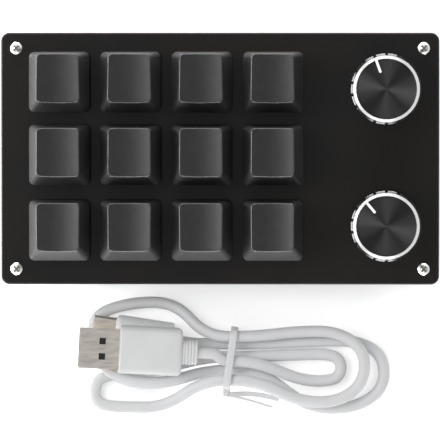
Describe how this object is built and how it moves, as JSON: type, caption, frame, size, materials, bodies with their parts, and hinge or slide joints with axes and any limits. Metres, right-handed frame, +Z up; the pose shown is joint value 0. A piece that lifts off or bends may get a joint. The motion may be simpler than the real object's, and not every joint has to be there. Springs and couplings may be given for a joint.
{
  "type": "macro keypad",
  "caption": "Flat desk keypad with sculpted push keys in a grid and two rotary push knobs, and a USB cable tied in a hank",
  "frame": {"origin": "on the desk under the middle of the keypad, the cable left out", "axes": "+X along the long side towards the knobs, +Y away from the user, +Z up"},
  "size_m": [0.131, 0.1148, 0.0317],
  "materials": {
    "plate_gloss": "polished black sheet with a bevelled edge",
    "case_plastic": "moulded, fine texture",
    "cap_plastic": "fine moulded texture",
    "knob_black": "black anodised, spun face, bright cut ring",
    "cord_white": "soft matt jacket",
    "grip_white": "smooth moulded grip",
    "tie_white": "plastic-coated wire",
    "nickel": "bright nickel plate",
    "contact_white": "plain",
    "brass": "turned",
    "foot_rubber": "matt",
    "board_black": "solder mask",
    "switch_black": "moulded nylon",
    "stem_grey": "moulded, smooth",
    "steel": "plain",
    "copper_pin": "tinned",
    "light_white": "clear resin",
    "chip_black": "moulded epoxy",
    "shaft_alloy": "turned",
    "wheel_plastic": "moulded"
  },
  "bodies": {
    "body": {"top_plate": "plate_gloss", "plate_screws": "nickel", "bottom_case": "case_plastic", "threaded_inserts": "brass", "rubber_feet": "foot_rubber", "circuit_board": "board_black", "switch_bases": "switch_black", "switch_covers": "switch_black", "return_springs": "steel", "switch_pins": "copper_pin", "switch_sockets": "chip_black", "diodes": "chip_black", "key_lights": "light_white", "controller_chip": "chip_black", "usb_socket_shell": "nickel", "usb_socket_tongue": "chip_black", "encoder_bases": "chip_black", "encoder_covers": "steel", "encoder_domes": "steel", "cable_hank": "cord_white", "usb_a_shell": "nickel", "usb_a_tongue": "contact_white", "usb_a_overmould": "grip_white", "usb_c_shell": "nickel", "usb_c_overmould": "grip_white", "twist_tie": "tie_white"},
    "key_1": {"keycap_1": "cap_plastic", "key_stem_1": "stem_grey"},
    "key_2": {"keycap_2": "cap_plastic", "key_stem_2": "stem_grey"},
    "key_3": {"keycap_3": "cap_plastic", "key_stem_3": "stem_grey"},
    "key_4": {"keycap_4": "cap_plastic", "key_stem_4": "stem_grey"},
    "key_5": {"keycap_5": "cap_plastic", "key_stem_5": "stem_grey"},
    "key_6": {"keycap_6": "cap_plastic", "key_stem_6": "stem_grey"},
    "key_7": {"keycap_7": "cap_plastic", "key_stem_7": "stem_grey"},
    "key_8": {"keycap_8": "cap_plastic", "key_stem_8": "stem_grey"},
    "key_9": {"keycap_9": "cap_plastic", "key_stem_9": "stem_grey"},
    "key_10": {"keycap_10": "cap_plastic", "key_stem_10": "stem_grey"},
    "key_11": {"keycap_11": "cap_plastic", "key_stem_11": "stem_grey"},
    "key_12": {"keycap_12": "cap_plastic", "key_stem_12": "stem_grey"},
    "encoder_back": {"encoder_wheel_back": "wheel_plastic"},
    "dial_back": {"encoder_shaft_back": "shaft_alloy", "knob_back": "knob_black", "knob_screw_back": "steel"},
    "encoder_front": {"encoder_wheel_front": "wheel_plastic"},
    "dial_front": {"encoder_shaft_front": "shaft_alloy", "knob_front": "knob_black", "knob_screw_front": "steel"}
  },
  "joints": [
    {"name": "key_1_press", "type": "slide", "parent": "body", "child": "key_1", "axis": [0, 0, -1], "range_m": [0, 0.004], "stiffness_N_per_m": 88, "springref_m": -0.0034, "deforming": ["return_springs"]},
    {"name": "key_2_press", "type": "slide", "parent": "body", "child": "key_2", "axis": [0, 0, -1], "range_m": [0, 0.004], "stiffness_N_per_m": 88, "springref_m": -0.0034, "deforming": ["return_springs"]},
    {"name": "key_3_press", "type": "slide", "parent": "body", "child": "key_3", "axis": [0, 0, -1], "range_m": [0, 0.004], "stiffness_N_per_m": 88, "springref_m": -0.0034, "deforming": ["return_springs"]},
    {"name": "key_4_press", "type": "slide", "parent": "body", "child": "key_4", "axis": [0, 0, -1], "range_m": [0, 0.004], "stiffness_N_per_m": 88, "springref_m": -0.0034, "deforming": ["return_springs"]},
    {"name": "key_5_press", "type": "slide", "parent": "body", "child": "key_5", "axis": [0, 0, -1], "range_m": [0, 0.004], "stiffness_N_per_m": 88, "springref_m": -0.0034, "deforming": ["return_springs"]},
    {"name": "key_6_press", "type": "slide", "parent": "body", "child": "key_6", "axis": [0, 0, -1], "range_m": [0, 0.004], "stiffness_N_per_m": 88, "springref_m": -0.0034, "deforming": ["return_springs"]},
    {"name": "key_7_press", "type": "slide", "parent": "body", "child": "key_7", "axis": [0, 0, -1], "range_m": [0, 0.004], "stiffness_N_per_m": 88, "springref_m": -0.0034, "deforming": ["return_springs"]},
    {"name": "key_8_press", "type": "slide", "parent": "body", "child": "key_8", "axis": [0, 0, -1], "range_m": [0, 0.004], "stiffness_N_per_m": 88, "springref_m": -0.0034, "deforming": ["return_springs"]},
    {"name": "key_9_press", "type": "slide", "parent": "body", "child": "key_9", "axis": [0, 0, -1], "range_m": [0, 0.004], "stiffness_N_per_m": 88, "springref_m": -0.0034, "deforming": ["return_springs"]},
    {"name": "key_10_press", "type": "slide", "parent": "body", "child": "key_10", "axis": [0, 0, -1], "range_m": [0, 0.004], "stiffness_N_per_m": 88, "springref_m": -0.0034, "deforming": ["return_springs"]},
    {"name": "key_11_press", "type": "slide", "parent": "body", "child": "key_11", "axis": [0, 0, -1], "range_m": [0, 0.004], "stiffness_N_per_m": 88, "springref_m": -0.0034, "deforming": ["return_springs"]},
    {"name": "key_12_press", "type": "slide", "parent": "body", "child": "key_12", "axis": [0, 0, -1], "range_m": [0, 0.004], "stiffness_N_per_m": 88, "springref_m": -0.0034, "deforming": ["return_springs"]},
    {"name": "dial_back_turn", "type": "hinge", "parent": "body", "child": "encoder_back", "pos_m": [0.0496, 0.021, 0.0125], "axis": [0, 0, 1], "continuous": true},
    {"name": "dial_back_push", "type": "slide", "parent": "encoder_back", "child": "dial_back", "axis": [0, 0, -1], "range_m": [0, 0.0005], "stiffness_N_per_m": 4000, "springref_m": -0.0006, "deforming": ["encoder_domes"]},
    {"name": "dial_front_turn", "type": "hinge", "parent": "body", "child": "encoder_front", "pos_m": [0.0496, -0.0196, 0.0125], "axis": [0, 0, 1], "continuous": true},
    {"name": "dial_front_push", "type": "slide", "parent": "encoder_front", "child": "dial_front", "axis": [0, 0, -1], "range_m": [0, 0.0005], "stiffness_N_per_m": 4000, "springref_m": -0.0006, "deforming": ["encoder_domes"]}
  ]
}
